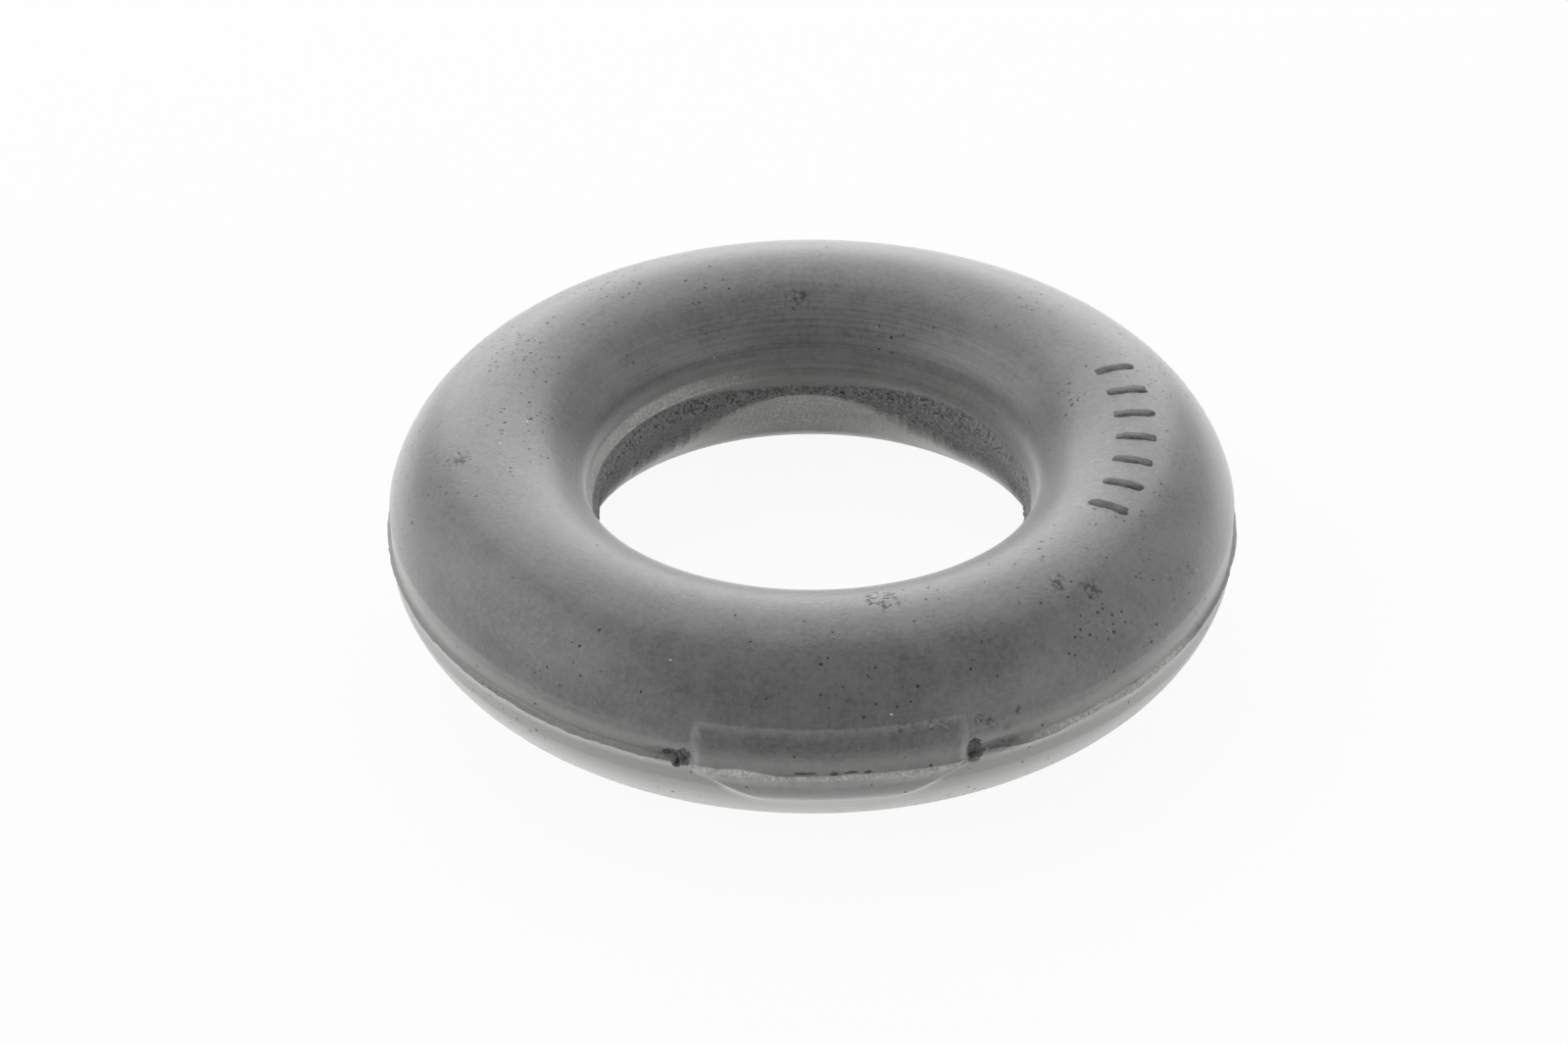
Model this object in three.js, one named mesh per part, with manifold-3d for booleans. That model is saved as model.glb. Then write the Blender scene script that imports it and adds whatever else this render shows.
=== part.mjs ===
// Exhaust hanger rubber: one moulded rubber ring that hangs an exhaust pipe from two hooks.
// Millimetres, +Z up along the bore. The origin is the centre of the bore, at half height.
import * as THREE from "three";
import { mergeVertices, toCreasedNormals } from "three/addons/utils/BufferGeometryUtils.js";
import Module from "manifold-3d";

const wasm = await Module();
wasm.setup();

// Driving dimensions of the ring
const meanDiameter = 46; // through the middle of the rubber section
const sectionDiameter = 15; // the round section, which is also the height of the ring lying flat
const rimLandDepth = 0.25; // how far the upright band round the rim is set back from the full round
const boreLandDepth = 0.7; // the same for the upright band in the bore
const partingDrop = 0.2; // how far the mould's parting plane lies below half height

// The bead that the two mould halves leave round the bore
const boreBeadHeight = 0.85; // from the bore's band to the bead's edge
const boreBeadWidth = 4.3; // across its foot
const boreShoulderHeight = 0.35; // the bevelled step on which the bead stands
const boreShoulderWidth = 2.4;
const boreEdgeWidth = 0.3; // the blunt torn edge of the bead
const boreEdgeWaver = 0.2; // share by which that edge wanders in and out

// The torn lip round the rim, where the lower mould half stands out beyond the upper one
const lipHeight = 0.35;
const lipEdgeWidth = 0.2;
const lipLedgeRise = 0.1; // from its edge up to where its ledge meets the rim's band
const lipFall = 0.8; // how far below the parting plane it runs out into the rim's band
const lipFront = 0.3; // share by which it is wider towards the pad and narrower away from it
const lipWaver = 0.22; // share by which its torn edge wanders in and out

// The raised pad across the parting line, on the rim facing -Y
const padProud = 0.75; // beyond the rim's band
const padHeight = 6.1;
const padLength = 17.1; // along its face
const padDraft = 0.55; // how much further each end reaches at its foot
const padCornerRadius = 2; // where its face rounds over to the top and the underside
const padEndRadius = 0.6; // where its face rounds over to its ends

// The pockets torn out of the lip and the rim's band, one past each end of the pad
const tearDepth = 0.55;
const tearWidthLeft = 1.8;
const tearHeightLeft = 1.5;
const tearWidthRight = 1.1;
const tearHeightRight = 2.3;
const tearRise = 0.15; // the right one's middle lies this far above the parting plane, the left one's below

// Facets
const ringSteps = 90;
const sectionArcSteps = 5; // half the steps of each quarter round
const cornerSteps = 3; // half the steps of each corner of the pad

const ringRadius = meanDiameter / 2;
const sectionRadius = sectionDiameter / 2;
const rimRadius = ringRadius + sectionRadius - rimLandDepth;
const boreRadius = ringRadius - sectionRadius + boreLandDepth;
const shoulderRadius = boreRadius - boreShoulderHeight;
const edgeRadius = boreRadius - boreBeadHeight;
const padRadius = rimRadius + padProud;

const rubber = new THREE.MeshStandardMaterial({ color: 0x5c5c5b, roughness: 0.72, metalness: 0 });

// A closed three.js geometry as a manifold-3d solid.
function solidOf(geometry) {
  const bare = geometry.clone();
  bare.deleteAttribute("normal");
  bare.deleteAttribute("uv");
  const merged = mergeVertices(bare, 1e-4);
  return new wasm.Manifold(
    new wasm.Mesh({
      numProp: 3,
      vertProperties: merged.attributes.position.array,
      triVerts: new Uint32Array(merged.index.array),
    }),
  );
}

// A manifold-3d solid as a three.js geometry, with flat facets shaded smooth up to a crease.
function geometryOf(made) {
  const mesh = made.getMesh();
  const geometry = new THREE.BufferGeometry();
  geometry.setAttribute("position", new THREE.BufferAttribute(mesh.vertProperties, 3));
  geometry.setIndex(new THREE.BufferAttribute(mesh.triVerts, 1));
  return toCreasedNormals(geometry, Math.PI / 6);
}

// A closed outline turned round the bore's axis. Angle 0 is -Y, and it grows towards +X.
function revolve(outline) {
  return new THREE.LatheGeometry(outline, ringSteps).rotateX(Math.PI / 2);
}

// An uneven line round the ring, between -1 and 1, as rubber tears.
function tornLine(angle) {
  return 0.6 * Math.sin(11 * angle + 1) + 0.4 * Math.sin(23 * angle);
}

// The reach of a point from the bore's axis, once the torn edges wander in and out.
function tornReach(reach, angle) {
  const lip = reach - rimRadius;
  const bead = shoulderRadius - reach;
  if (lip > lipHeight / 2) {
    return rimRadius + lip * (1 + lipFront * Math.cos(angle) + lipWaver * tornLine(angle));
  }
  if (bead > (boreBeadHeight - boreShoulderHeight) / 2) {
    return shoulderRadius - bead * (1 + boreEdgeWaver * tornLine(-angle));
  }
  return reach;
}

// The section, anticlockwise from the lip: rim band, upper round, bore bead, lower round.
function ringSection() {
  const top = Math.PI / 2;
  const rimAngle = Math.acos((rimRadius - ringRadius) / sectionRadius);
  const boreAngle = Math.acos((boreRadius - ringRadius) / sectionRadius);
  const section = new THREE.Path();
  section.moveTo(rimRadius + lipHeight, -partingDrop - lipEdgeWidth);
  section.lineTo(rimRadius + lipHeight, -partingDrop);
  section.lineTo(rimRadius, lipLedgeRise - partingDrop);
  section.absarc(ringRadius, 0, sectionRadius, rimAngle, top, false);
  section.absarc(ringRadius, 0, sectionRadius, top, boreAngle, false);
  section.lineTo(boreRadius, boreBeadWidth / 2 - partingDrop);
  section.lineTo(shoulderRadius, boreShoulderWidth / 2 - partingDrop);
  section.lineTo(edgeRadius, boreEdgeWidth / 2 - partingDrop);
  section.lineTo(edgeRadius, -boreEdgeWidth / 2 - partingDrop);
  section.lineTo(shoulderRadius, -boreShoulderWidth / 2 - partingDrop);
  section.lineTo(boreRadius, -boreBeadWidth / 2 - partingDrop);
  section.absarc(ringRadius, 0, sectionRadius, -boreAngle, -top, false);
  section.absarc(ringRadius, 0, sectionRadius, -top, -rimAngle, false);
  section.lineTo(rimRadius, -partingDrop - lipFall);
  section.closePath();
  return section.getPoints(sectionArcSteps);
}

// The ring without its pad, with the lip and the bore's bead uneven as they tore.
function makeRing() {
  const ring = revolve(ringSection());
  const points = ring.attributes.position;
  for (let i = 0; i < points.count; i++) {
    const reach = Math.hypot(points.getX(i), points.getY(i));
    const angle = Math.atan2(points.getX(i), -points.getY(i));
    const drawn = tornReach(reach, angle) / reach;
    points.setX(i, points.getX(i) * drawn);
    points.setY(i, points.getY(i) * drawn);
  }
  return solidOf(ring);
}

// A bar with rounded corners and its own stretch of the lip, turned the whole way round the rim.
function padBar() {
  const half = padHeight / 2;
  const corner = padRadius - padCornerRadius;
  const bar = new THREE.Path();
  bar.moveTo(padRadius, lipLedgeRise - partingDrop);
  bar.absarc(corner, half - padCornerRadius, padCornerRadius, 0, Math.PI / 2, false);
  bar.lineTo(ringRadius, half);
  bar.lineTo(ringRadius, -half);
  bar.absarc(corner, padCornerRadius - half, padCornerRadius, -Math.PI / 2, 0, false);
  bar.lineTo(padRadius, -partingDrop - lipFall);
  bar.lineTo(padRadius + lipHeight, -partingDrop - lipEdgeWidth);
  bar.lineTo(padRadius + lipHeight, -partingDrop);
  bar.closePath();
  return solidOf(revolve(bar.getPoints(cornerSteps)));
}

// The stretch of the bar that the pad keeps: an upright block with drafted ends, in plan.
function padWindow() {
  const footHalf = padLength / 2 + padDraft;
  const faceHalf = padLength / 2;
  const footY = -Math.sqrt(rimRadius ** 2 - footHalf ** 2);
  const faceY = -Math.sqrt(padRadius ** 2 - faceHalf ** 2);
  const frontY = -(padRadius + 2 * lipHeight);
  const plan = new THREE.Shape();
  plan.moveTo(-footHalf, -ringRadius / 2);
  plan.lineTo(-footHalf, footY);
  plan.lineTo(-faceHalf, faceY + padEndRadius);
  plan.quadraticCurveTo(-faceHalf, faceY, padEndRadius - faceHalf, faceY);
  plan.lineTo(padEndRadius - faceHalf, frontY);
  plan.lineTo(faceHalf - padEndRadius, frontY);
  plan.lineTo(faceHalf - padEndRadius, faceY);
  plan.quadraticCurveTo(faceHalf, faceY, faceHalf, faceY + padEndRadius);
  plan.lineTo(footHalf, footY);
  plan.lineTo(footHalf, -ringRadius / 2);
  plan.closePath();
  const block = new THREE.ExtrudeGeometry(plan, {
    depth: 2 * padHeight,
    bevelEnabled: false,
    curveSegments: cornerSteps,
  });
  return solidOf(block.translate(0, 0, -padHeight));
}

// A pocket torn out of the lip and the rim's band, just past an end of the pad.
function tear(side, width, height, rise) {
  const x = side * (padLength / 2 + padDraft + width / 2);
  const y = -Math.sqrt(rimRadius ** 2 - x ** 2);
  const pocket = new THREE.SphereGeometry(1, 10, 8);
  pocket.scale(width / 2, tearDepth, height / 2);
  pocket.rotateZ(Math.atan2(x, -y));
  return solidOf(pocket.translate(x, y, rise - partingDrop));
}

function makeHangerRing() {
  const left = tear(-1, tearWidthLeft, tearHeightLeft, -tearRise);
  const right = tear(1, tearWidthRight, tearHeightRight, tearRise);
  const pad = padBar().intersect(padWindow());
  const made = makeRing().add(pad).subtract(left).subtract(right);
  const mesh = new THREE.Mesh(geometryOf(made), rubber);
  mesh.name = "hanger_ring";
  return mesh;
}

const hangerRubber = new THREE.Group();
hangerRubber.add(makeHangerRing());

export default hangerRubber;
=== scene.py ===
# %% [markdown]
# # An exhaust hanger rubber
#
# A car's exhaust pipe hangs from rings like this one. One hook holds the top of the bore, the
# other pulls down on the bottom, and the rubber between them lets the pipe shake without noise.
# The ring is a single moulding, so this lesson makes it as a single mesh, and lays a row of ribs
# on its skin. Its interest is in small things: the torn lip where two mould halves met, a raised
# pad, a rough bead in the bore, and the pale bloom that rubber sweats out as it ages.

# %% Load the frame
import math

import bmesh
import bpy
from mathutils import Matrix, Vector, noise


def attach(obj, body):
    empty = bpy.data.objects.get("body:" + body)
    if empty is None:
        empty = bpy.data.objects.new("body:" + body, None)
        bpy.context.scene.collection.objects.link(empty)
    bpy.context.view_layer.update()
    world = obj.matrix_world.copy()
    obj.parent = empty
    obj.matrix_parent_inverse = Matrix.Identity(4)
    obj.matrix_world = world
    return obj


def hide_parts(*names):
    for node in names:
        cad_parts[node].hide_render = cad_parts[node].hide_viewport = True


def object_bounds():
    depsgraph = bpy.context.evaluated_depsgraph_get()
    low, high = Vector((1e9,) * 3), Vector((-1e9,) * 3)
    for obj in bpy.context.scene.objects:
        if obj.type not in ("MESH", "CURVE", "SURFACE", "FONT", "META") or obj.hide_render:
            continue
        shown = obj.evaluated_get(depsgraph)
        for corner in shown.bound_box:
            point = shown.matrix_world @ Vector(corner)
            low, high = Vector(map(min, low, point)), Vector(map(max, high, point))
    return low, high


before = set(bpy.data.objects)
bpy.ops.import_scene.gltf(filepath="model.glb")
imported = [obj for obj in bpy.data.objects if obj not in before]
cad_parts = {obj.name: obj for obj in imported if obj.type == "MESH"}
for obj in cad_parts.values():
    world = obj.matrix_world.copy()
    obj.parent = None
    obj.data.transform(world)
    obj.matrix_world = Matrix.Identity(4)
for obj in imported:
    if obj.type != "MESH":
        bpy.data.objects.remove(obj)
cad_low, cad_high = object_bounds()
scene = bpy.context.scene
print("frame:", sorted(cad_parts), "box", [round(v, 5) for v in (*cad_low, *cad_high)])

# %% [markdown]
# ## Sizes
#
# The frame gives the ring's height, which is the width of its round section. The other sizes are
# the ones that a mould maker would write on the drawing. Blender works in metres, so a named
# millimetre keeps them readable.

# %% Sizes of the moulding
MM = 0.001
SECTION = (cad_high.z - cad_low.z) / 2
RING = 23 * MM
RIM = RING + SECTION - 0.25 * MM
BORE = RING - SECTION + 0.7 * MM
SHOULDER = BORE - 0.35 * MM
BEAD_EDGE = BORE - 0.85 * MM
BEAD_HALF = 2.15 * MM
SHOULDER_HALF = 1.2 * MM
EDGE_HALF = 0.15 * MM
PARTING = -0.2 * MM
PAD_FACE = RIM + 0.75 * MM
PAD_HALF = 3.05 * MM
PAD_CORNER = 2 * MM
PAD_FOOT = 9.1 * MM
PAD_END = 1.0 * MM
print("section, rim and bore radii:", [round(v / MM, 3) for v in (SECTION, RIM, BORE)], "mm")

# %% [markdown]
# ## Camera
#
# The picture to match was taken from about 35 degrees above with a long lens, a little to the
# left of the pad. The camera is first placed straight above the ring, then tilted, and then
# turned round it, so each number stays a plain angle or distance.

# %% Camera
LENS_MM = 85.25
ELEVATION = math.radians(34.93)
YAW = math.radians(-1.85)
ROLL = math.radians(0.277)
DISTANCE = 268.1 * MM
OFF_CENTRE = Vector((-1.99 * MM, -1.162 * MM, 0))

camera_data = bpy.data.cameras.new("camera")
camera_data.lens = LENS_MM
camera = bpy.data.objects.new("camera", camera_data)
scene.collection.objects.link(camera)
turn = Matrix.Rotation(YAW, 4, "Z") @ Matrix.Rotation(math.pi / 2 - ELEVATION, 4, "X")
camera.matrix_world = (
    turn
    @ Matrix.Rotation(-ROLL, 4, "Z")
    @ Matrix.Translation(OFF_CENTRE + Vector((0, 0, DISTANCE)))
)
scene.camera = camera
print("camera at", [round(v, 4) for v in camera.matrix_world.translation])

# %% [markdown]
# ## Drawing the section
#
# Turned shapes start from half a cross-section. Here the whole section is drawn, because the
# ring is hollow in the middle. Rows of points are crowded where the fine detail will be, near
# the parting plane, and spread out over the plain round top and underside. The list runs round
# the section once: up the rim, over the top, down the bore and back underneath.

# %% Rows up the rim and over the round
RIM_ROWS = 34
ARC_ROWS = 20


def round_reach(z):
    """Reach of the plain round section from the bore's axis, on its outer side."""
    return RING + math.sqrt(max(SECTION**2 - z**2, 0))


def rim_rows():
    """Rows up the rim between the pad's feet, closest together at the parting plane."""
    rows = []
    for step in range(-RIM_ROWS, RIM_ROWS + 1):
        share = step / RIM_ROWS
        z = PARTING * (1 - share**2) + PAD_HALF * (0.5 * share + 0.5 * share**3)
        rows.append((min(round_reach(z), RIM), z))
    return rows


def arc_rows(start, end):
    """Rows between two angles of the round section, without the two end rows."""
    angles = [start + (end - start) * step / ARC_ROWS for step in range(1, ARC_ROWS)]
    return [(RING + SECTION * math.cos(t), SECTION * math.sin(t)) for t in angles]


print("rows up the rim:", len(rim_rows()))

# %% Rows down the bore
EASE_TOP = 4.2 * MM
EASE_STEP = 0.25 * MM
EASE = 0.2 * MM
BORE_STEP = 0.15 * MM


def eased_rows():
    """Rows down the bore where the round section runs softly into the upright band."""
    rows = []
    top, foot = EASE_TOP, PARTING + BEAD_HALF
    steps = round((top - foot) / EASE_STEP)
    for step in range(steps):
        z = top + (foot - top) * step / steps
        plain = RING - math.sqrt(SECTION**2 - z**2)
        rows.append((BORE + EASE * math.log(1 + math.exp((plain - BORE) / EASE)), z))
    return rows


def bead_rows():
    """Rows down the bead in the bore: the bevelled shoulder, the bead's edge, and back again."""
    corners = [
        (BORE, PARTING + BEAD_HALF), (SHOULDER, PARTING + SHOULDER_HALF),
        (BEAD_EDGE, PARTING + EDGE_HALF), (BEAD_EDGE, PARTING - EDGE_HALF),
        (SHOULDER, PARTING - SHOULDER_HALF), (BORE, PARTING - BEAD_HALF),
    ]
    rows = [corners[0]]
    for (r0, z0), (r1, z1) in zip(corners, corners[1:]):
        steps = max(2, round(math.hypot(r1 - r0, z1 - z0) / BORE_STEP))
        rows += [(r0 + (r1 - r0) * s / steps, z0 + (z1 - z0) * s / steps) for s in range(1, steps + 1)]
    return rows


print("rows down the bead:", len(bead_rows()))

# %% Outline of the section
FOOT_ANGLE = math.asin(PAD_HALF / SECTION)
EASE_ANGLE = math.pi - math.asin(EASE_TOP / SECTION)
upper_bore = eased_rows()
lower_bore = [(reach, -z) for reach, z in reversed(upper_bore)]
section = (
    rim_rows()
    + arc_rows(FOOT_ANGLE, EASE_ANGLE)
    + upper_bore
    + bead_rows()
    + lower_bore
    + arc_rows(-EASE_ANGLE, -FOOT_ANGLE)
)
print("the section has", len(section), "points")

# %% [markdown]
# ## Spinning the ring
#
# One spin would give every part of the ring the same spacing. Two spins let the stretch with
# the pad have columns three times as close as the rest. Angle 0 faces the pad, along -Y, and
# angles grow towards +X. The last column lands on the first, and merging doubles welds them.

# %% Spin the section into a ring
FINE_HALF = math.radians(27)
FINE_STEPS = 208
PLAIN_STEPS = 400


def at(reach, angle, z):
    """A point given by its reach from the axis, its angle round the ring and its height."""
    return Vector((reach * math.sin(angle), -reach * math.cos(angle), z))


ring_bm = bmesh.new()
# Layers for torn rubber and painted shade, whitened rubber and painted light, and the pad's share of
# less painted light.
torn_and_painted_shade = ring_bm.verts.layers.float.new("torn_and_painted_shade")
pale_and_painted_light = ring_bm.verts.layers.float.new("pale_and_painted_light")
pad_less_painted_light = ring_bm.verts.layers.float.new("pad_less_painted_light")
outline = [ring_bm.verts.new(at(reach, -FINE_HALF, z)) for reach, z in section]
edges = [ring_bm.edges.new((a, b)) for a, b in zip(outline, outline[1:] + outline[:1])]
axis = {"cent": (0, 0, 0), "axis": (0, 0, 1), "use_merge": False, "use_duplicate": False}
fine = bmesh.ops.spin(ring_bm, geom=outline + edges, angle=2 * FINE_HALF, steps=FINE_STEPS, **axis)
bmesh.ops.spin(
    ring_bm, geom=fine["geom_last"], angle=2 * (math.pi - FINE_HALF), steps=PLAIN_STEPS, **axis
)
bmesh.ops.remove_doubles(ring_bm, verts=ring_bm.verts, dist=0.004 * MM)
print("ring:", len(ring_bm.verts), "points,", len(ring_bm.faces), "faces")

# %% [markdown]
# ## The pad
#
# On the real ring the pad is a rounded bar that crosses the parting plane. It could be a second
# mesh joined with a boolean, but that leaves ragged seams in the shading. Instead the rows that
# cross the rim are pushed out to the bar, wherever the bar reaches further than the ring. They
# move all the way along the pad's length and not at all beyond its feet, so the pad grows out
# of the rim like a moulded one. The lower mould half's ends slope in more than the upper one's,
# and a softer fillet leads into them.

# %% Push the rim out to the pad
RIM_EDGE = PAD_HALF + 0.01 * MM
LOWER_START = 0.25 * MM
LOWER_TAPER = 1.1
LOWER_ROUNDING = 0.9
UPPER_FILLET = 0.02 * MM
LOWER_FILLET = 0.3 * MM
PAD_END_CURVE = 2.2


def pad_reach(z):
    """Reach of the pad's section at a height: an upright face between two rounded corners."""
    past = max(abs(z) - (PAD_HALF - PAD_CORNER), 0)
    return PAD_FACE - PAD_CORNER + math.sqrt(max(PAD_CORNER**2 - past**2, 0))


def pad_share(angle, z):
    """How far a point is pushed out: 0 past the feet, 1 on the face, rounded in between."""
    under = max(PARTING - LOWER_START - z, 0)
    end = PAD_END + LOWER_ROUNDING * under
    inside = (PAD_FOOT - LOWER_TAPER * under - abs(RIM * math.sin(angle))) / end
    inside = min(max(inside, 0), 1)
    soft = min(under / MM, 1)
    return (1 - soft) * (1 - (1 - inside) ** PAD_END_CURVE) + soft * inside**2 * (3 - 2 * inside)


rim_points = [v for v in ring_bm.verts if v.co.xy.length > RING and abs(v.co.z) < RIM_EDGE]
for v in rim_points:
    angle = math.atan2(v.co.x, -v.co.y)
    fillet = UPPER_FILLET if v.co.z > 0 else LOWER_FILLET
    rise = fillet * math.log(1 + math.exp((pad_reach(v.co.z) - v.co.xy.length) / fillet))
    if abs(angle) < FINE_HALF:
        v.co = at(v.co.xy.length + rise * pad_share(angle, v.co.z), angle, v.co.z)
print("the pad reaches", round(-min(v.co.y for v in rim_points) / MM, 2), "mm from the axis")

# %% [markdown]
# ## The lip and its tears
#
# The two mould halves never meet perfectly. Here the lower half stands out a little further, so
# a thin lip runs round the rim at the parting plane, with a ledge on top. The flash that grew on
# it was torn off by hand, so its edge wanders, and here and there it took a bite of the ring
# with it. The lip's height is a function of the angle with some noise on it, and each bite is an
# oval that pushes the surface in. Three values are stored on the points for the material. One
# marks where dark rubber lies open, and it also lays painted shade in the hollows. One marks
# where the tear went white, and it also lays a painted highlight on the pad's top crease and the
# ledge. One marks the pad, where less painted light from below is laid on.

# %% How high the lip and its ledge stand
# Heights are in millimetres. A hump is its centre and half its width in degrees, and its height.
LIP_PLAIN = 0.26
LEDGE_PLAIN = 0.1
LIP_HUMPS = [(-32, 28, 0.2), (28, 10, 0.22), (43, 6, 0.1)]
LEDGE_HUMPS = [(29, 6, 0.26), (-12, 7, 0.34), (6, 12, 0.12), (44, 16, 0.16)]


def swell(value, centre, half):
    """A smooth hump that is 1 at the centre and 0 at half its width away and beyond."""
    share = min(abs(value - centre) / half, 1)
    return 0.5 + 0.5 * math.cos(math.pi * share)


def wander(angle, pitch, seed):
    """Noise along the rim, from about -1 to 1, with bends about a pitch apart."""
    place = Vector((math.sin(angle), math.cos(angle), 0)) * (RIM / pitch)
    return noise.noise(place + Vector((0, 0, seed)))


def rise_of(humps, degrees):
    """The sum of some humps at an angle round the ring, in millimetres."""
    return sum(rise * swell(degrees, centre, half) for centre, half, rise in humps)


def lip_height(degrees, angle):
    """How far the lip stands out, in metres."""
    uneven = 1 + 0.3 * wander(angle, 2.2 * MM, 3) + 0.3 * wander(angle, 0.6 * MM, 8)
    return (LIP_PLAIN + rise_of(LIP_HUMPS, degrees)) * uneven * MM


def ledge_rise(degrees, angle):
    """Height of the ledge's inner edge above the parting plane, where the tear climbs."""
    torn_up = rise_of(LEDGE_HUMPS, degrees) * (1 + 0.9 * wander(angle, 0.8 * MM, 12))
    return (LEDGE_PLAIN + max(torn_up, 0)) * MM


sampled = [round(lip_height(d, math.radians(d)) / MM, 2) for d in (-33, 0, 28)]
print("lip at the left, on the pad and at the right:", sampled, "mm")

# %% Bites, hollows and marks
# A bite is its centre and half its width in degrees, and its middle and half its height in mm.
LEFT_POCKET = [(-18.5, 0.95, 0.1, 0.65), (-20.1, 1.4, 0.15, 0.32), (-19.5, 0.5, -0.4, 0.45)]
RIGHT_POCKET = [(18.4, 1.0, 0.05, 1.05)]
NICKS = [(-3.2, 1.5, 0.2, 0.1), (0.4, 0.7, 0.16, 0.16), (2.4, 0.9, 0.22, 0.1), (4.6, 0.5, 0.16, 0.1)]

# A hollow is a shallow bite without an edge, with its share of the hollows' depth. Its dark colour is
# painted shade.
HOLLOWS = [(21.5, 5, 0.05, 0.7, 1), (-20.5, 3.5, 0.15, 0.6, 0.8)]

# Depths of the left pocket, the right one, the nicks and the hollows, in millimetres.
DEPTHS = (0.5, 0.6, 0.15, 0.22)

# A mark is its place in degrees, and its height and its size in millimetres.
MARKS = [
    (8.7, 2.8, 0.6), (10.7, 2.9, 0.5), (12.6, 2.7, 0.5), (14.2, 2.6, 0.7),
    (19.1, 2.4, 0.8), (20.6, 1.95, 0.9), (22.8, 1.3, 0.6), (24.5, 2.3, 0.6),
]


def bite(degrees, angle, z, centre, half_angle, middle, half_height):
    """1 inside an oval bite with a ragged edge, 0 outside it."""
    across = (degrees - centre) / half_angle
    up = (z / MM - middle) / half_height
    ragged = 0.4 * wander(angle, 0.3 * MM, 20 + z / (0.3 * MM))
    return min(max(2.5 * (1 - across**2 - up**2 + ragged), 0), 1)


def mark(angle, z, degrees, height, size):
    """1 inside a small dark mark on the skin, 0 outside it."""
    apart = math.hypot(RIM * (angle - math.radians(degrees)), z - height * MM)
    ragged = 1 + 0.5 * wander(angle, 0.25 * MM, 60 + z / (0.25 * MM))
    return min(max(1.6 - 3.2 * apart * ragged / (size * MM), 0), 1)


def bites(degrees, angle, z):
    """How deep the bites go, in metres, how much they took of the lip, and the hollow's share."""
    left, right, nicks = (
        max(bite(degrees, angle, z, *place) for place in places)
        for places in (LEFT_POCKET, RIGHT_POCKET, NICKS)
    )
    hollow = max(
        share * swell(degrees, centre, half) * swell(z / MM, middle, half_height)
        for centre, half, middle, half_height, share in HOLLOWS
    )
    depth = max(full * share for full, share in zip(DEPTHS, (left, right, nicks, hollow)))
    return depth * MM, max(left, right, nicks), hollow


print(len(LEFT_POCKET + RIGHT_POCKET + NICKS), "bites and", len(MARKS), "marks")

# %% Shape the lip and tear it
LIP_FALL = 0.9 * MM
LIP_CURVE = 1.6
CREASE = 2.79 * MM
# Share of a painted highlight along the pad's top crease.
CREASE_HIGHLIGHT = 0.35
WOBBLE = 0.07 * MM
# How much of the dark torn colour the hollows take: painted shade.
HOLLOW_PAINTED_SHADE = 0.75
GROOVE = 0.1 * MM
GROOVE_HUMP = (-46, 12)
GROOVE_RISE = 0.32
# Where the ledge is painted lighter as a painted highlight, and how much whitening it has elsewhere.
LEDGE_HIGHLIGHT_HUMP = (42, 24)
WHITE_LEAST = 0.25

for v in rim_points:
    angle = math.atan2(v.co.x, -v.co.y)
    degrees = math.degrees(angle)
    above = v.co.z - PARTING
    ledge = ledge_rise(degrees, angle)
    height = lip_height(degrees, angle)
    if above < 0:
        lip = height * max(1 + above / LIP_FALL, 0) ** LIP_CURVE
    else:
        lip = height * max(1 - above / ledge, 0)
    groove = GROOVE * swell(degrees, *GROOVE_HUMP) * swell(above / MM, GROOVE_RISE, 0.3)
    wobble = WOBBLE * wander(angle, 4 * MM, 31) * swell(above / MM, 0, 1.2)
    depth, bitten, hollow, on_pad = 0, 0, 0, 0
    if abs(angle) < FINE_HALF:
        depth, bitten, hollow = bites(degrees, angle, v.co.z)
        on_pad = pad_share(angle, v.co.z)
        marks = max(mark(angle, v.co.z, *place) for place in MARKS)
        # Torn rubber in the bites and marks, and painted shade in the hollows.
        v[torn_and_painted_shade] = max(bitten, HOLLOW_PAINTED_SHADE * hollow, marks)
        # The pad's face takes less of the painted light from below.
        v[pad_less_painted_light] = on_pad * min(max((v.co.z + CREASE) / (0.3 * MM), 0), 1)
    on_ledge = min(2 * swell(above - ledge / 2, 0, ledge / 2 + 0.08 * MM), 1)
    # A painted highlight along the pad's top crease.
    crease_highlight = CREASE_HIGHLIGHT * on_pad * swell(v.co.z, CREASE, 0.15 * MM)
    # The ledge is partly whitened by the tear and partly a painted highlight, most at the right.
    white = max(WHITE_LEAST, on_pad, min(1.5 * swell(degrees, *LEDGE_HIGHLIGHT_HUMP), 1))
    v[pale_and_painted_light] = (1 - bitten) * max(white * on_ledge, crease_highlight)
    reach = v.co.xy.length + lip * (1 - bitten) - groove - depth
    v.co = at(reach, angle, v.co.z + wobble)
torn_count = sum(v[torn_and_painted_shade] > 0.5 for v in rim_points)
pale_count = sum(v[pale_and_painted_light] > 0.5 for v in rim_points)
print(torn_count, "torn points and", pale_count, "pale ones")

# %% [markdown]
# ## The torn bead in the bore
#
# In the bore the skin was punched out. That leaves a bead with dark rough rubber at its edge,
# which runs far down the wall at both sides. Above it the left side keeps a crisp pale crescent,
# which is a painted highlight, and at the back and the right the skin runs softly into the bead.
# Below it the wall is painted pale, which is painted light from the floor, except at the sides.
# The rows there are close enough together to carry the roughness in the mesh itself.

# %% Where the bore is soft or rough
SOFT_HUMP = (145, 80)

# Reaches of the rough rubber above and below the parting plane, in millimetres, and what the
# sides of the bore have more.
ROUGH_TOP, ROUGH_TOP_MORE = 0.6, 0.55
ROUGH_FOOT, ROUGH_FOOT_MORE = 0.25, 4
ROUGH_FADE, ROUGH_FADE_MORE = 0.3, 1.6


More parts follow.
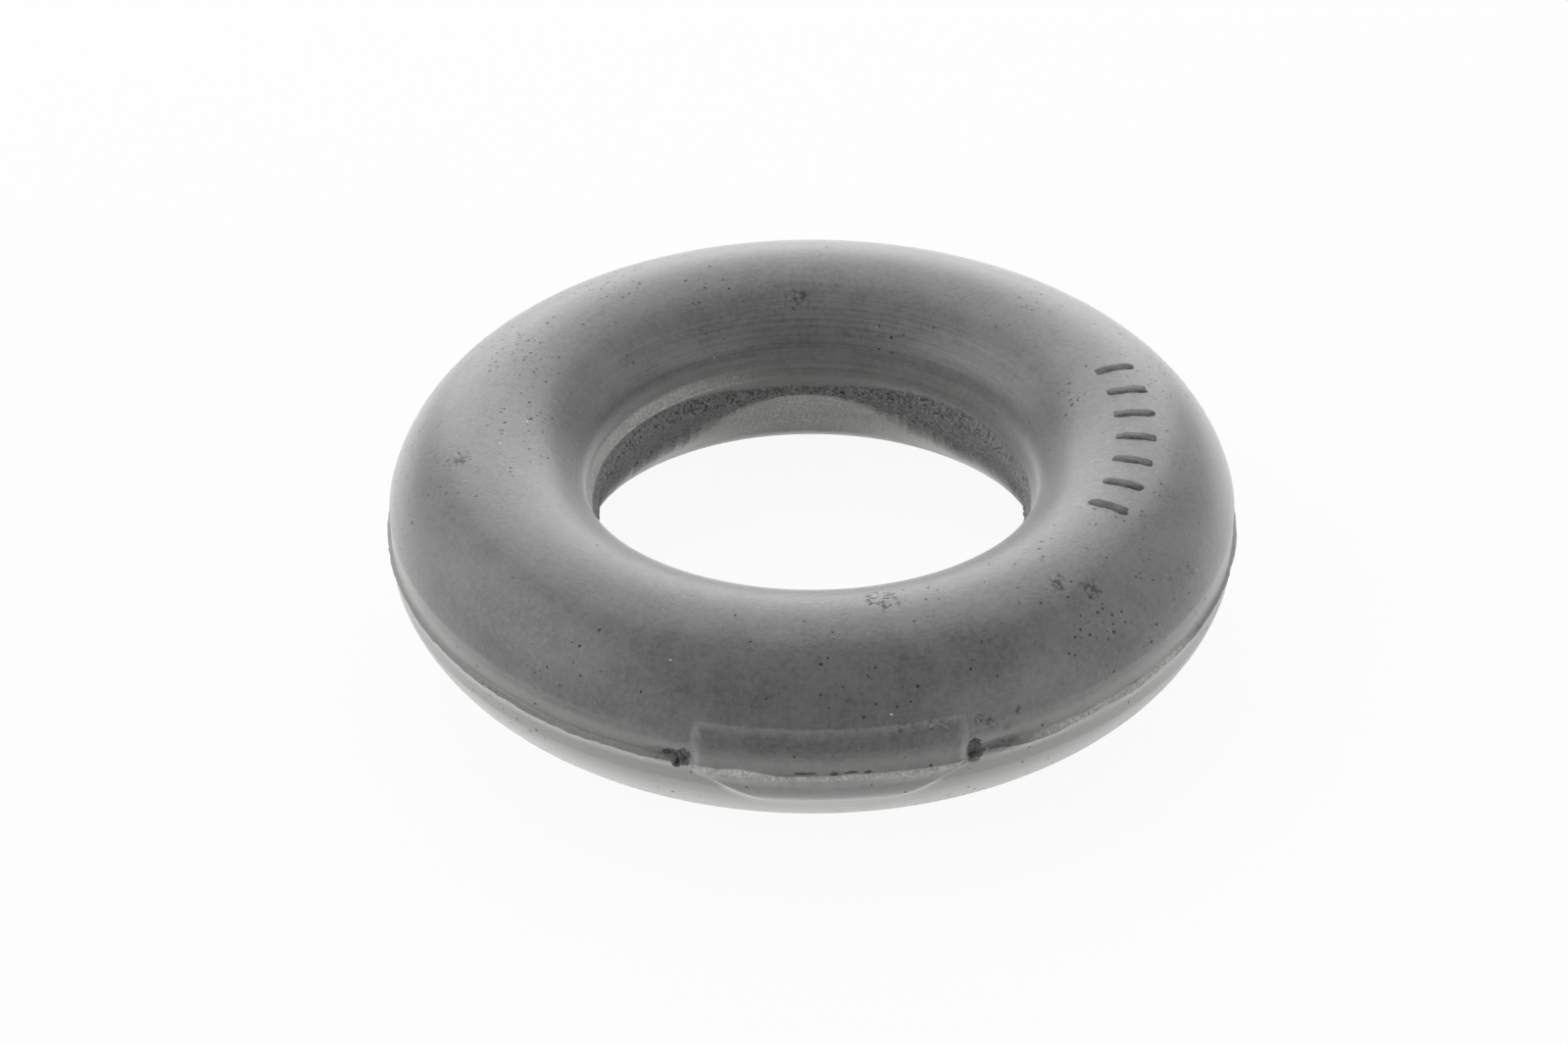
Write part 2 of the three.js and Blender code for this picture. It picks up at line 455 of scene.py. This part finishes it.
def soft_reach(z):
    """Reach down the bore where the skin runs into the bead's shoulder without a crease."""
    foot, top = PARTING + SHOULDER_HALF, EASE_TOP
    t = (z - foot) / (top - foot)
    end = RING - math.sqrt(SECTION**2 - top**2)
    foot_slope = (BORE - SHOULDER) / (BEAD_HALF - SHOULDER_HALF)
    top_slope = top / math.sqrt(SECTION**2 - top**2)
    bend = t * (1 - t) * ((1 - t) * foot_slope - t * top_slope) * (top - foot)
    return SHOULDER + (end - SHOULDER) * t**2 * (3 - 2 * t) + bend


def rough_share(angle, above, side):
    """1 where rough rubber lies open, with a ragged top and a long fade at its foot."""
    top = ROUGH_TOP + ROUGH_TOP_MORE * side + 0.12 * wander(angle, 0.8 * MM, 40)
    foot = ROUGH_FOOT + ROUGH_FOOT_MORE * side * (1 + 0.25 * wander(angle, 0.5 * MM, 45))
    fade = ROUGH_FADE + ROUGH_FADE_MORE * side
    under_top = min(max((top - above / MM) / 0.25, 0), 1)
    return under_top * min(max((above / MM + foot) / fade, 0), 1)


print("soft reach at the bevel:", round(soft_reach(PARTING + BEAD_HALF) / MM, 2), "mm")

# %% Roughen the bore
BORE_ZONE = 1.2 * MM
# A painted highlight on the left crescent, and painted light from below on the lower wall.
CRESCENT_HIGHLIGHT_HUMP = (-122, 62)
CRESCENT_HIGHLIGHT = 0.8
STRIP_PAINTED_LIGHT = 0.9
CRUMB = 0.45 * MM
CRUMB_HEIGHT = 0.08

bore_points = [v for v in ring_bm.verts if v.co.xy.length < BORE + BORE_ZONE]
for v in bore_points:
    angle = math.atan2(v.co.x, -v.co.y)
    degrees = math.degrees(angle)
    if SHOULDER_HALF + PARTING < v.co.z < EASE_TOP:
        blurred = min(1.6 * swell(degrees % 360, *SOFT_HUMP), 1)
        v.co = at(v.co.xy.length + (soft_reach(v.co.z) - v.co.xy.length) * blurred, angle, v.co.z)
    side = 1 - swell(abs(math.sin(angle)), 0, 0.75)
    above = v.co.z - PARTING
    rough = rough_share(angle, above, side)
    crumbs = noise.fractal(v.co / CRUMB, 0.8, 2.2, 4)
    ragged = swell(above, 0, 0.5 * MM) * (0.16 + 0.16 * swell(degrees, -95, 40))
    edge = ragged * wander(angle, 0.7 * MM, 50)
    # Painted highlight on the left crescent and its line, and painted floor light on the strip below
    # the bead.
    left = min(1.3 * swell(degrees, *CRESCENT_HIGHLIGHT_HUMP), 1)
    highlight_line = left * swell(above, SHOULDER_HALF, 0.12 * MM)
    bevel = min(2 * swell(above, (BEAD_HALF + SHOULDER_HALF) / 2, 0.6 * MM), 1)
    painted_light_strip = min(max(-above / (0.4 * MM), 0), 1) * (1 - side)
    v[torn_and_painted_shade] = rough
    v[pale_and_painted_light] = max(highlight_line, CRESCENT_HIGHLIGHT * bevel * left, STRIP_PAINTED_LIGHT * painted_light_strip) * (1 - rough)
    v.co = at(v.co.xy.length + (CRUMB_HEIGHT * crumbs * rough + edge) * MM, angle, v.co.z)
print(len(bore_points), "points in the bore")

# %% [markdown]
# ## Finishing the mesh
#
# A spin can come out inside out, so the normals are worked out again now that the doubles are
# gone. Smooth shading suits the round skin, but an edge sharper than 25 degrees is left crisp,
# or the lip and the pad would look melted.

# %% Make the ring's object
CRISP = math.radians(25)

bmesh.ops.recalc_face_normals(ring_bm, faces=ring_bm.faces)
for face in ring_bm.faces:
    face.smooth = True
for edge in ring_bm.edges:
    edge.smooth = edge.calc_face_angle(0) < CRISP
ring_mesh = bpy.data.meshes.new("hanger_rubber")
ring_bm.to_mesh(ring_mesh)
ring_bm.free()
ring = bpy.data.objects.new("hanger_rubber", ring_mesh)
scene.collection.objects.link(ring)
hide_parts("hanger_ring")
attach(ring, "root")
print("hanger_rubber:", len(ring_mesh.polygons), "faces")

# %% [markdown]
# ## A row of plain ribs
#
# Moulded parts carry some mark of the mould that they came from. Seven plain low ribs stand in
# for it here. They start as a row of cubes, cut fine enough to bend. Each one is then laid on the
# round section: its x becomes a distance round the ring, its y a distance over the section, and
# its z the height above the skin. The top is domed, and noise wears each rib differently.

# %% Ribs on the upper side
RIB_COUNT = 7
RIB_FIRST = math.radians(60)
RIB_PITCH = math.radians(7.5)
RIB_LENGTH = 3.0 * MM
RIB_WIDTH = 0.95 * MM
RIB_RISE = 0.13 * MM
RIB_ROOT = 0.1 * MM
RIB_SINK = 0.02 * MM
RIB_CUTS = 11
RIB_SPACING = 2

rib_bm = bmesh.new()
for count in range(RIB_COUNT):
    bmesh.ops.create_cube(rib_bm, size=1, matrix=Matrix.Translation((RIB_SPACING * count, 0, 0)))
bmesh.ops.subdivide_edges(rib_bm, edges=rib_bm.edges, cuts=RIB_CUTS, use_grid_fill=True)
for v in rib_bm.verts:
    count = round(v.co.x / RIB_SPACING)
    across = 2 * (v.co.x - RIB_SPACING * count)
    along = 2 * v.co.y
    wear = noise.noise(Vector((0.9 * across, 1.8 * along, 5.3 * count)))
    waist = (1 - 0.3 * abs(along) ** 5) * (1 + 0.25 * wear)
    dome = (1 - abs(across) ** 3) * (1 - abs(along) ** 7) * (1 + 0.5 * wear)
    reach = SECTION + (v.co.z - 0.5) * RIB_ROOT + (v.co.z + 0.5) * (RIB_RISE * dome - RIB_SINK)
    over = math.pi / 2 + along * (1 + 0.1 * wear) * RIB_LENGTH / 2 / SECTION
    angle = RIB_FIRST + count * RIB_PITCH + across * waist * RIB_WIDTH / 2 / RING
    v.co = at(RING + reach * math.cos(over), angle, reach * math.sin(over))
bmesh.ops.recalc_face_normals(rib_bm, faces=rib_bm.faces)
for face in rib_bm.faces:
    face.smooth = True
rib_mesh = bpy.data.meshes.new("mould_ribs")
rib_bm.to_mesh(rib_mesh)
rib_bm.free()
ribs = bpy.data.objects.new("mould_ribs", rib_mesh)
scene.collection.objects.link(ribs)
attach(ribs, "root")
print("mould_ribs:", len(rib_mesh.polygons), "faces")

# %% [markdown]
# ## Building materials from small helpers
#
# A shader is a graph of nodes. A few helpers keep the graphs short to write. The first adds a
# node and feeds its sockets, with either numbers or the outputs of other nodes. The others do
# arithmetic, spread a value from one range to another, blend colours and start a group.

# %% Node helpers
BLUE_SHARE = 0.985


def add(tree, kind, inputs=(), **settings):
    """Adds a node, sets its properties, and feeds its inputs from numbers or other sockets."""
    made = tree.nodes.new(kind)
    for name, value in settings.items():
        setattr(made, name, value)
    for name, value in dict(inputs).items():
        if isinstance(value, bpy.types.NodeSocket):
            tree.links.new(value, made.inputs[name])
        else:
            made.inputs[name].default_value = value
    return made


def maths(tree, operation, *values, clamp=False):
    """One Math node's result."""
    made = add(tree, "ShaderNodeMath", enumerate(values), operation=operation, use_clamp=clamp)
    return made.outputs[0]


def remap(tree, value, low, high, to_low=0.0, to_high=1.0):
    """A value spread smoothly from one range to another, and held at its ends."""
    inputs = {"Value": value, 1: low, 2: high, 3: to_low, 4: to_high}
    made = add(tree, "ShaderNodeMapRange", inputs, interpolation_type="SMOOTHSTEP")
    return made.outputs[0]


def blend_colour(tree, share, first, second):
    """Mixes two colours by a share."""
    made = add(tree, "ShaderNodeMix", {0: share, 6: first, 7: second}, data_type="RGBA")
    return made.outputs[2]


def grey(level):
    """A grey with slightly less blue in it than red and green."""
    return (level, level, level * BLUE_SHARE, 1)


def new_group(name, numbers, results):
    """An empty shader group with a Vector input, number inputs and number outputs."""
    tree = bpy.data.node_groups.new(name, "ShaderNodeTree")
    tree.interface.new_socket("Vector", in_out="INPUT", socket_type="NodeSocketVector")
    for label, value in numbers.items():
        socket = tree.interface.new_socket(label, in_out="INPUT", socket_type="NodeSocketFloat")
        socket.default_value = value
    for label in results:
        tree.interface.new_socket(label, in_out="OUTPUT", socket_type="NodeSocketFloat")
    return tree, add(tree, "NodeGroupInput").outputs, add(tree, "NodeGroupOutput").inputs


print("node helpers ready")

# %% [markdown]
# ## Effects that the materials share
#
# Rubber skin shows four effects at different scales. Bloom is a pale film that lies in soft
# clouds a few millimetres across. Pinholes are specks one to three tenths of a millimetre across,
# where the film is missing or a bubble opened. Drag lines run round the ring, where the skin slid
# along the mould, and grain is its finest roughness. Each is a node group, so that a material can
# take the effect with its own values.

# %% Bloom clouds
PER_MM = 1 / MM

bloom_group, given, out = new_group("Bloom clouds", {"Cloud size": 6.0, "Patchiness": 1.0}, ["Cover"])
per_metre = maths(bloom_group, "DIVIDE", PER_MM, given["Cloud size"])
clouds = add(bloom_group, "ShaderNodeTexNoise", {
    "Vector": given["Vector"], "Scale": per_metre, "Detail": 5.0, "Roughness": 0.62, "Distortion": 0.4,
})
fine_scale = maths(bloom_group, "MULTIPLY", per_metre, 7.0)
fine_clouds = add(bloom_group, "ShaderNodeTexNoise", {
    "Vector": given["Vector"], "Scale": fine_scale, "Detail": 3.0, "Roughness": 0.6,
})
broad = remap(bloom_group, clouds.outputs["Fac"], 0.32, 0.68)
speckle = remap(bloom_group, fine_clouds.outputs["Fac"], 0.3, 0.7)
both = maths(bloom_group, "MULTIPLY_ADD", speckle, 0.35, maths(bloom_group, "MULTIPLY", broad, 0.65))
centred = maths(bloom_group, "SUBTRACT", both, 0.5)
spread = maths(bloom_group, "MULTIPLY_ADD", centred, given["Patchiness"], 0.5, clamp=True)
bloom_group.links.new(spread, out["Cover"])
print(bloom_group.name, "has", len(bloom_group.nodes), "nodes")

# %% Pinholes
BEND = 0.3 * MM
BEND_SCALE = 5000.0
CROWD_SCALE = 130.0

pin_group, given, out = new_group("Pinholes", {"Spacing": 0.9, "Share": 0.2, "Radius": 0.2}, ["Hole"])
bend = add(pin_group, "ShaderNodeTexNoise", {"Vector": given["Vector"], "Scale": BEND_SCALE})
bent = add(pin_group, "ShaderNodeVectorMath", {
    0: bend.outputs["Color"], 1: (BEND, BEND, BEND), 2: given["Vector"],
}, operation="MULTIPLY_ADD")
cells = add(pin_group, "ShaderNodeTexVoronoi", {
    "Vector": bent.outputs[0], "Scale": maths(pin_group, "DIVIDE", PER_MM, given["Spacing"]),
})
chance = add(pin_group, "ShaderNodeSeparateColor", {"Color": cells.outputs["Color"]})
crowd = add(pin_group, "ShaderNodeTexNoise", {
    "Vector": given["Vector"], "Scale": CROWD_SCALE, "Detail": 1.0,
})
crowded = remap(pin_group, crowd.outputs["Fac"], 0.45, 0.66, 0.25, 3.0)
share = maths(pin_group, "MULTIPLY", given["Share"], crowded)
chosen = maths(pin_group, "LESS_THAN", chance.outputs[0], share)
radius = maths(pin_group, "MULTIPLY", given["Radius"], maths(pin_group, "ADD", chance.outputs[1], 0.35))
hole = remap(pin_group, cells.outputs["Distance"], radius, maths(pin_group, "MULTIPLY", radius, 0.55))
pin_group.links.new(maths(pin_group, "MULTIPLY", hole, chosen), out["Hole"])
print(pin_group.name, "has", len(pin_group.nodes), "nodes")

# %% Drag lines
ALONG_LINES = 70.0

drag_group, given, out = new_group("Drag lines", {"Line width": 0.25}, ["Line"])
axes = add(drag_group, "ShaderNodeSeparateXYZ", {"Vector": given["Vector"]})
flat = add(drag_group, "ShaderNodeCombineXYZ", {"X": axes.outputs[0], "Y": axes.outputs[1]})
reach = add(drag_group, "ShaderNodeVectorMath", {0: flat.outputs[0]}, operation="LENGTH")
close = maths(drag_group, "DIVIDE", PER_MM, given["Line width"])
slow_x = maths(drag_group, "MULTIPLY", axes.outputs[0], ALONG_LINES)
slow_y = maths(drag_group, "MULTIPLY", axes.outputs[1], ALONG_LINES)
across = maths(drag_group, "MULTIPLY_ADD", reach.outputs["Value"], close, slow_x)
up = maths(drag_group, "MULTIPLY_ADD", axes.outputs[2], close, slow_y)
lines = add(drag_group, "ShaderNodeTexNoise", {
    "Vector": add(drag_group, "ShaderNodeCombineXYZ", {"X": across, "Y": up}).outputs[0],
    "Scale": 1.0, "Detail": 2.0,
})
drag_group.links.new(remap(drag_group, lines.outputs["Fac"], 0.35, 0.65), out["Line"])
print(drag_group.name, "has", len(drag_group.nodes), "nodes")

# %% Rubber grain
grain_group, given, out = new_group("Rubber grain", {"Grain size": 0.22}, ["Height"])
grain = add(grain_group, "ShaderNodeTexNoise", {
    "Vector": given["Vector"], "Scale": maths(grain_group, "DIVIDE", PER_MM, given["Grain size"]),
    "Detail": 4.0, "Roughness": 0.65,
})
grain_group.links.new(grain.outputs["Fac"], out["Height"])
print(grain_group.name, "has", len(grain_group.nodes), "nodes")

# %% [markdown]
# ## The bloomed skin and the torn rubber
#
# The skin is dark rubber under a pale film. Where the film is thick the colour is lighter and
# the surface duller. The lower half and the underside are painted lighter, which is painted light
# from the white floor below. One value from the mesh swaps the skin for bare torn rubber, which
# is rough and catches light on its crumbs, and in the hollows it lays painted shade. Another swaps
# it for whitened rubber where the tear went white, and for painted highlights and painted floor
# light on the pad's crease, the ledge and the bore. Sheen stands for the powdery film, which
# brightens the edges that turn away, and a thin coat stands for the wax in it. Pits, scuffs and
# torn rubber have little or no coat, so they stay dark where the skin shines. The pits crowd in
# four places, and each crowd and scuff is given by its angle round the ring and over the section.

# %% Start the ring's material


def use(tree, group, vector, **values):
    """Places a shared group and returns its first output."""
    made = add(tree, "ShaderNodeGroup", node_tree=group)
    tree.links.new(vector, made.inputs["Vector"])
    for label, value in values.items():
        socket = made.inputs[label.replace("_", " ")]
        if isinstance(value, bpy.types.NodeSocket):
            tree.links.new(value, socket)
        else:
            socket.default_value = value
    return made.outputs[0]


def new_material(name):
    """A material with a Principled shader, and the Object coordinates that its patterns follow."""
    made = bpy.data.materials.new(name)
    made.use_nodes = True
    tree = made.node_tree
    shader = tree.nodes["Principled BSDF"]
    place = add(tree, "ShaderNodeTexCoord").outputs["Object"]
    return made, tree, shader, place


skin, tree, shader, place = new_material("bloomed_skin")
print("started", skin.name)

# %% Places of the scuffs and of the crowds of pits
# A scuff is its angle round the ring, its angle over the section, and its size in millimetres.
SCUFFS = [(9.7, 97, 1.4), (42.1, 60.5, 0.9), (-178.8, 125, 1.0), (-81.8, 72.5, 1.2), (38.5, 72, 0.8)]

# A crowd is two such angles, and the share of places that hold a pit in its middle.
CROWDS = [(-128, 82, 0.5), (-82, 95, 0.35), (44, 62, 0.4), (118, 60, 0.3)]
CROWD_LEAST = 0.09
CROWD_FAR = 15 * MM
CROWD_NEAR = 4 * MM


def on_skin(azimuth, over):
    """A point on the round section, from its angle round the ring and its angle over the section."""
    azimuth, over = math.radians(azimuth), math.radians(over)
    return at(RING + SECTION * math.cos(over), azimuth, SECTION * math.sin(over))


def apart_from(tree, place, centre):
    """Distance from a point to a centre."""
    made = add(tree, "ShaderNodeVectorMath", {0: place, 1: centre}, operation="DISTANCE")
    return made.outputs["Value"]


crowding = CROWD_LEAST
for azimuth, over, most in CROWDS:
    apart = apart_from(tree, place, on_skin(azimuth, over))
    near = remap(tree, apart, CROWD_FAR, CROWD_NEAR, CROWD_LEAST, most)
    crowding = maths(tree, "MAXIMUM", crowding, near)
print(len(SCUFFS), "scuffs and", len(CROWDS), "crowds of pits")

# %% Patterns on the skin
HOLE_SHARE = 0.45

cover = use(tree, bloom_group, place, Cloud_size=3.0, Patchiness=1.6)
mottle = use(tree, bloom_group, place, Cloud_size=0.4, Patchiness=2.4)
crumbs = use(tree, bloom_group, place, Cloud_size=0.22, Patchiness=2.5)
hole_share = maths(tree, "MULTIPLY", crowding, HOLE_SHARE)
holes = use(tree, pin_group, place, Spacing=1.0, Share=hole_share, Radius=0.13)
specks = use(tree, pin_group, place, Spacing=0.45, Share=crowding, Radius=0.24)
dust = use(tree, pin_group, place, Spacing=1.7, Share=0.25, Radius=0.045)
drag = use(tree, drag_group, place, Line_width=0.25)
grained = use(tree, grain_group, place, Grain_size=0.22)
is_torn_and_painted_shade, is_pale_and_painted_light, is_pad_less_painted_light = (
    add(tree, "ShaderNodeAttribute", attribute_name=layer).outputs["Fac"]
    for layer in ("torn_and_painted_shade", "pale_and_painted_light", "pad_less_painted_light")
)
print("patterns use", len(tree.nodes), "nodes")

# %% Where the skin is streaked, and where light from below is painted on
STREAK_TOP = 6.8 * MM
STREAK_FOOT = 5.5 * MM
STREAK_START = 2 * MM
STREAK_END = 14 * MM
STREAK_LEAST = 0.05
STREAK_MORE = 0.2
# The band above the parting plane, the lower half and the underside are painted lighter: painted light
# from the white floor below.
BAND_TOP = 1.5 * MM
BAND_FOOT = 0.8 * MM
BAND_PAINTED_LIGHT = 0.45
BELOW_TOP = PARTING + 0.2 * MM
BELOW_FOOT = PARTING - 0.6 * MM
BELOW_PAINTED_LIGHT = 0.75
PAD_PAINTED_LIGHT_LESS = -0.4
UNDER_TOP = -1.8 * MM
UNDER_FOOT = -4.6 * MM
UNDER_PAINTED_LIGHT = 0.75

axes = add(tree, "ShaderNodeSeparateXYZ", {"Vector": place})
height = axes.outputs[2]
shoulder = remap(tree, height, STREAK_TOP, STREAK_FOOT)
behind = remap(tree, axes.outputs[1], STREAK_START, STREAK_END)
at_back = maths(tree, "MULTIPLY", shoulder, behind)
streaked = maths(tree, "MULTIPLY_ADD", at_back, STREAK_MORE, STREAK_LEAST)
band = remap(tree, height, BAND_TOP, BAND_FOOT, 0.0, BAND_PAINTED_LIGHT)
below = maths(tree, "MAXIMUM", band, remap(tree, height, BELOW_TOP, BELOW_FOOT))
# Less painted floor light is laid on the pad's face.
most_painted_light = maths(tree, "MULTIPLY_ADD", is_pad_less_painted_light, PAD_PAINTED_LIGHT_LESS, BELOW_PAINTED_LIGHT)
painted_floor_light = maths(tree, "MULTIPLY", below, most_painted_light)
under = remap(tree, height, UNDER_TOP, UNDER_FOOT, 0.0, UNDER_PAINTED_LIGHT)
print("with the shares of bloom there are", len(tree.nodes), "nodes")

# %% Colours of the skin
THIN_FILM = grey(0.08)
THICK_FILM = grey(0.13)
MOTTLED = grey(0.17)
# Painted floor light on the lower half and the underside.
LOWER_HALF_PAINTED_LIGHT = grey(0.42)
UNDERSIDE_PAINTED_LIGHT = grey(0.7)
DRAGGED = grey(0.3)
PIT = grey(0.02)
SCUFFED = grey(0.03)
DUSTY = grey(0.7)
BARE_DARK = grey(0.02)
BARE_LIGHT = grey(0.36)
# Whitened rubber shares these colours with painted highlights and painted floor light.
PALE_AND_HIGHLIGHT_DARK = grey(0.5)
PALE_AND_HIGHLIGHT_LIGHT = grey(0.8)
MOTTLE_SHARE = 0.45
SCUFF_SHARE = 0.8
SCUFF_FRAY = 1.3
SCUFF_OUTER = 1.15
SCUFF_INNER = 0.7

film = blend_colour(tree, cover, THIN_FILM, THICK_FILM)
film = blend_colour(tree, maths(tree, "MULTIPLY", mottle, MOTTLE_SHARE), film, MOTTLED)
# Painted light from the floor below lightens the band, the lower half and the underside.
film = blend_colour(tree, painted_floor_light, film, LOWER_HALF_PAINTED_LIGHT)
film = blend_colour(tree, under, film, UNDERSIDE_PAINTED_LIGHT)
film = blend_colour(tree, maths(tree, "MULTIPLY", drag, streaked), film, DRAGGED)
pits = maths(tree, "MAXIMUM", holes, specks)
film = blend_colour(tree, pits, film, PIT)
for azimuth, over, size in SCUFFS:
    apart = apart_from(tree, place, on_skin(azimuth, over))
    frayed = maths(tree, "MULTIPLY_ADD", mottle, SCUFF_FRAY * size * MM, apart)
    inside = remap(tree, frayed, SCUFF_OUTER * size * MM, SCUFF_INNER * size * MM)
    rubbed = maths(tree, "MULTIPLY", inside, SCUFF_SHARE)
    film = blend_colour(tree, rubbed, film, SCUFFED)
    pits = maths(tree, "MAXIMUM", pits, rubbed)
film = blend_colour(tree, dust, film, DUSTY)
film = blend_colour(tree, is_torn_and_painted_shade, film, blend_colour(tree, crumbs, BARE_DARK, BARE_LIGHT))
# Whitened rubber, painted highlights on the crease, ledge and bore crescent, and painted floor light in
# the bore.
whitened_and_painted_light = blend_colour(tree, crumbs, PALE_AND_HIGHLIGHT_DARK, PALE_AND_HIGHLIGHT_LIGHT)
tree.links.new(blend_colour(tree, is_pale_and_painted_light, film, whitened_and_painted_light), shader.inputs["Base Color"])
print("with the colours there are", len(tree.nodes), "nodes")

# %% Gloss and relief of the skin
DULL_LEAST = 0.32
DULL_MORE = 0.08
OPEN_DULLER = 0.5
WAX = 0.8

# Heights and depths of the relief, in millimetres.
MOTTLE_RELIEF = 0.016
GRAIN_RELIEF = 0.04
HOLE_RELIEF = -0.06
SPECK_RELIEF = -0.03
TORN_RELIEF = 0.1
PALE_RELIEF = 0.02

dull = maths(tree, "MULTIPLY_ADD", cover, DULL_MORE, DULL_LEAST)
open_rubber = maths(tree, "MAXIMUM", maths(tree, "MAXIMUM", is_torn_and_painted_shade, is_pale_and_painted_light), pits)
tree.links.new(maths(tree, "MULTIPLY_ADD", open_rubber, OPEN_DULLER, dull), shader.inputs["Roughness"])
tree.links.new(maths(tree, "MULTIPLY_ADD", open_rubber, -WAX, WAX), shader.inputs["Coat Weight"])
relief = maths(tree, "MULTIPLY", grained, GRAIN_RELIEF)
relief = maths(tree, "MULTIPLY_ADD", mottle, MOTTLE_RELIEF, relief)
relief = maths(tree, "MULTIPLY_ADD", holes, HOLE_RELIEF, relief)
relief = maths(tree, "MULTIPLY_ADD", specks, SPECK_RELIEF, relief)
relief = maths(tree, "MULTIPLY_ADD", maths(tree, "MULTIPLY", crumbs, is_torn_and_painted_shade), TORN_RELIEF, relief)
relief = maths(tree, "MULTIPLY_ADD", maths(tree, "MULTIPLY", crumbs, is_pale_and_painted_light), PALE_RELIEF, relief)
bump = add(tree, "ShaderNodeBump", {"Height": relief, "Distance": MM, "Strength": 1.0})
tree.links.new(bump.outputs[0], shader.inputs["Normal"])
shader.inputs["Specular IOR Level"].default_value = 0.5
shader.inputs["Coat Roughness"].default_value = 0.3
shader.inputs["Sheen Weight"].default_value = 1.0
shader.inputs["Sheen Roughness"].default_value = 0.4
ring_mesh.materials.append(skin)
print(skin.name, "has", len(tree.nodes), "nodes")

# %% [markdown]
# The ribs stand a little proud, so much of their film has been rubbed off. They use the groups
# for bloom and grain again, with darker colours.

# %% The ribs' material
RIB_DARK = grey(0.045)
RIB_LIGHT = grey(0.14)
RIB_DULL_LEAST = 0.4
RIB_DULL_MORE = 0.2
RIB_RELIEF = 0.03 * MM

worn, tree, shader, place = new_material("rubbed_rubber")
cover = use(tree, bloom_group, place, Cloud_size=0.9, Patchiness=1.5)
grained = use(tree, grain_group, place, Grain_size=0.2)
tree.links.new(blend_colour(tree, cover, RIB_DARK, RIB_LIGHT), shader.inputs["Base Color"])
rib_dull = maths(tree, "MULTIPLY_ADD", cover, RIB_DULL_MORE, RIB_DULL_LEAST)
tree.links.new(rib_dull, shader.inputs["Roughness"])
bump = add(tree, "ShaderNodeBump", {"Height": grained, "Distance": RIB_RELIEF, "Strength": 1.0})
tree.links.new(bump.outputs[0], shader.inputs["Normal"])
rib_mesh.materials.append(worn)
print(worn.name, "has", len(tree.nodes), "nodes")

# %% [markdown]
# ## Studio
#
# The ring lies on white paper between soft panels. Large ones stand behind it, above it and at
# its sides, and two small ones in front of it, at the left and the right, leave the middle of the
# front dark. A dull black ring shows its round shape by what it reflects, so the sides that face
# the camera stay dark and the skin brightens as it turns away. The paper is white to the camera
# by a glow of its own, not by stronger lamps, and it keeps a part of its shadow.

# %% White paper
FLOOR_SIZE = 6.0
PAPER = grey(0.9)
SHADOW_SHARE = 0.07

bpy.ops.mesh.primitive_plane_add(size=FLOOR_SIZE, location=(0, 0, 0))
floor = bpy.context.object
floor.name = "floor"
floor.data.transform(Matrix.Translation((0, 0, cad_low.z)))
paper = bpy.data.materials.new("floor_paper")
paper.use_nodes = True
tree = paper.node_tree
tree.nodes.clear()
light_path = add(tree, "ShaderNodeLightPath").outputs
seen = maths(tree, "MAXIMUM", light_path["Is Camera Ray"], light_path["Is Glossy Ray"])
seen = maths(tree, "MAXIMUM", seen, light_path["Is Transmission Ray"])
matt = add(tree, "ShaderNodeBsdfDiffuse", {"Color": PAPER})
white = add(tree, "ShaderNodeEmission", {"Color": (1, 1, 1, 1), "Strength": 1.0})
share = maths(tree, "MULTIPLY", seen, 1 - SHADOW_SHARE)
mixed = add(tree, "ShaderNodeMixShader", {0: share, 1: matt.outputs[0], 2: white.outputs[0]})
add(tree, "ShaderNodeOutputMaterial", {"Surface": mixed.outputs[0]})
floor.data.materials.append(paper)
print("floor at", round(cad_low.z / MM, 2), "mm")

# %% World
AMBIENT = 0.2

world = bpy.data.worlds.new("studio")
scene.world = world
world.use_nodes = True
tree = world.node_tree
tree.nodes.clear()
light_path = add(tree, "ShaderNodeLightPath").outputs
seen = maths(tree, "MAXIMUM", light_path["Is Camera Ray"], light_path["Is Transmission Ray"])
level = maths(tree, "MULTIPLY_ADD", seen, 1 - AMBIENT, AMBIENT)
sky = add(tree, "ShaderNodeBackground", {"Color": (1, 1, 1, 1), "Strength": level})
add(tree, "ShaderNodeOutputWorld", {"Surface": sky.outputs[0]})
print("ambient light:", AMBIENT)

# %% Lamps
PANEL_DISTANCE = 0.8


def panel(name, azimuth, elevation, width, height, radiance):
    """A soft panel that faces the ring. Azimuth 0 is behind the ring, 90 is to its right."""
    data = bpy.data.lights.new(name, "AREA")
    data.shape = "RECTANGLE"
    data.size = width
    data.size_y = height
    data.energy = math.pi * width * height * radiance
    made = bpy.data.objects.new(name, data)
    made.matrix_world = (
        Matrix.Rotation(-math.radians(azimuth), 4, "Z")
        @ Matrix.Rotation(math.radians(elevation), 4, "X")
        @ Matrix.Translation((0, PANEL_DISTANCE, 0))
        @ Matrix.Rotation(-math.pi / 2, 4, "X")
    )
    scene.collection.objects.link(made)


panel("back_panel", 0, 20, 0.9, 0.5, 2.1)
panel("top_panel", 0, 60, 0.9, 0.6, 1.5)
panel("left_panel", -88, 28, 0.9, 0.7, 1.6)
panel("right_panel", 88, 28, 0.9, 0.7, 0.65)
panel("front_left_panel", -132, 16, 0.5, 0.4, 0.7)
panel("front_right_panel", 132, 16, 0.5, 0.4, 1.3)
scene.view_settings.view_transform = "Standard"
